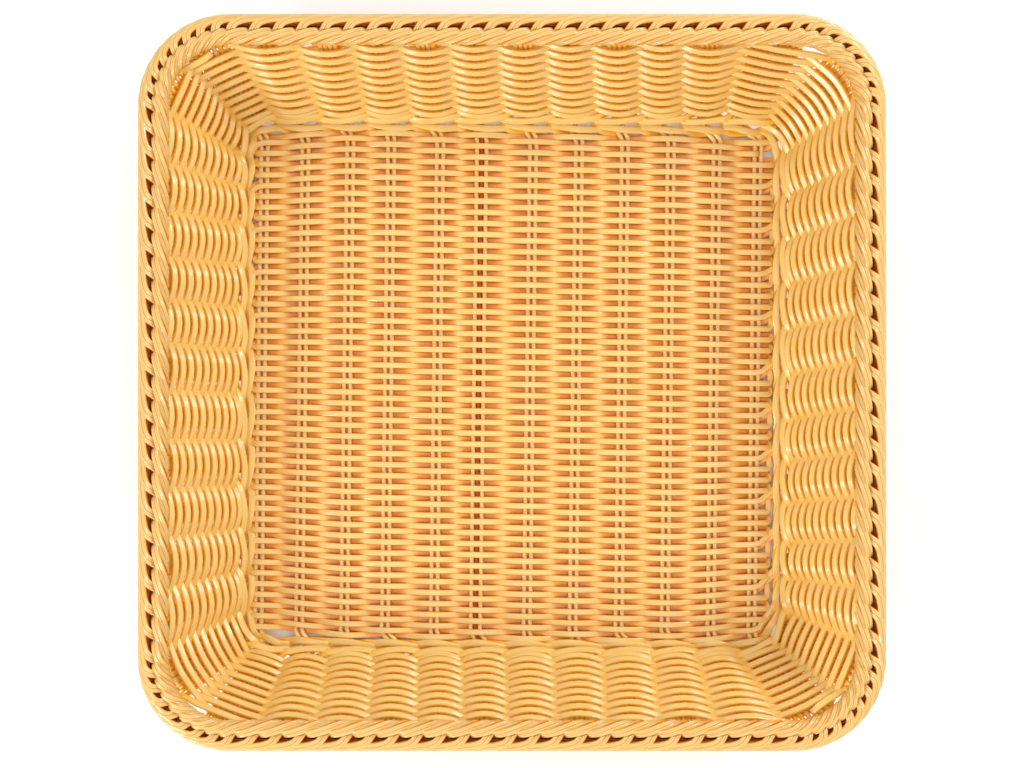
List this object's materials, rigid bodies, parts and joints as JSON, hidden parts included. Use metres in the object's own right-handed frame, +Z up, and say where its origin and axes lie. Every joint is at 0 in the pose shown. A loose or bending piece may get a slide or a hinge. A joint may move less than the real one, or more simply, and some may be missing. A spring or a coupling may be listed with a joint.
{
  "type": "square basket",
  "caption": "Low square basket, open at the top, woven from honey-coloured plastic rattan strands, with a plain-weave floor, sloping woven walls and a twisted border.",
  "frame": {"origin": "middle of the basket, on the plane that it stands on", "axes": "+X along the rows of the floor, +Y along the floor's stakes towards the picture's upper side, +Z up from the table"},
  "size_m": [0.4, 0.394, 0.072],
  "materials": {
    "strand": "satin, ribbed along the strand",
    "waling": "satin, ribbed along the strand",
    "border": "satin, ribbed along the strand",
    "steel": "glossy dark brown coating"
  },
  "bodies": {
    "root": {"floor_weft": "strand", "floor_stake_01_left": "strand", "floor_stake_01_right": "strand", "floor_stake_02_left": "strand", "floor_stake_02_right": "strand", "floor_stake_03_left": "strand", "floor_stake_03_right": "strand", "floor_stake_04_left": "strand", "floor_stake_04_right": "strand", "floor_stake_05_left": "strand", "floor_stake_05_right": "strand", "floor_stake_06_left": "strand", "floor_stake_06_right": "strand", "floor_stake_07_left": "strand", "floor_stake_07_right": "strand", "floor_stake_08_left": "strand", "floor_stake_08_right": "strand", "floor_stake_09_left": "strand", "floor_stake_09_right": "strand", "floor_stake_10_left": "strand", "floor_stake_10_right": "strand", "floor_stake_11_left": "strand", "floor_stake_11_right": "strand", "floor_stake_12_left": "strand", "floor_stake_12_right": "strand", "side_stake_01_back": "strand", "side_stake_01_front": "strand", "side_stake_02_back": "strand", "side_stake_02_front": "strand", "side_stake_03_back": "strand", "side_stake_03_front": "strand", "side_stake_04_back": "strand", "side_stake_04_front": "strand", "side_stake_05_back": "strand", "side_stake_05_front": "strand", "side_stake_06_back": "strand", "side_stake_06_front": "strand", "side_stake_07_back": "strand", "side_stake_07_front": "strand", "side_stake_08_back": "strand", "side_stake_08_front": "strand", "side_stake_09_back": "strand", "side_stake_09_front": "strand", "side_stake_10_back": "strand", "side_stake_10_front": "strand", "side_stake_11_back": "strand", "side_stake_11_front": "strand", "side_stake_12_back": "strand", "side_stake_12_front": "strand", "corner_stake_01": "strand", "corner_stake_02": "strand", "wall_weaver_first": "strand", "wall_weaver_second": "strand", "base_waling": "waling", "border_outer_rope": "border", "border_inner_rope": "border", "rim_hoop": "steel", "floor_wire": "steel"}
  },
  "joints": []
}
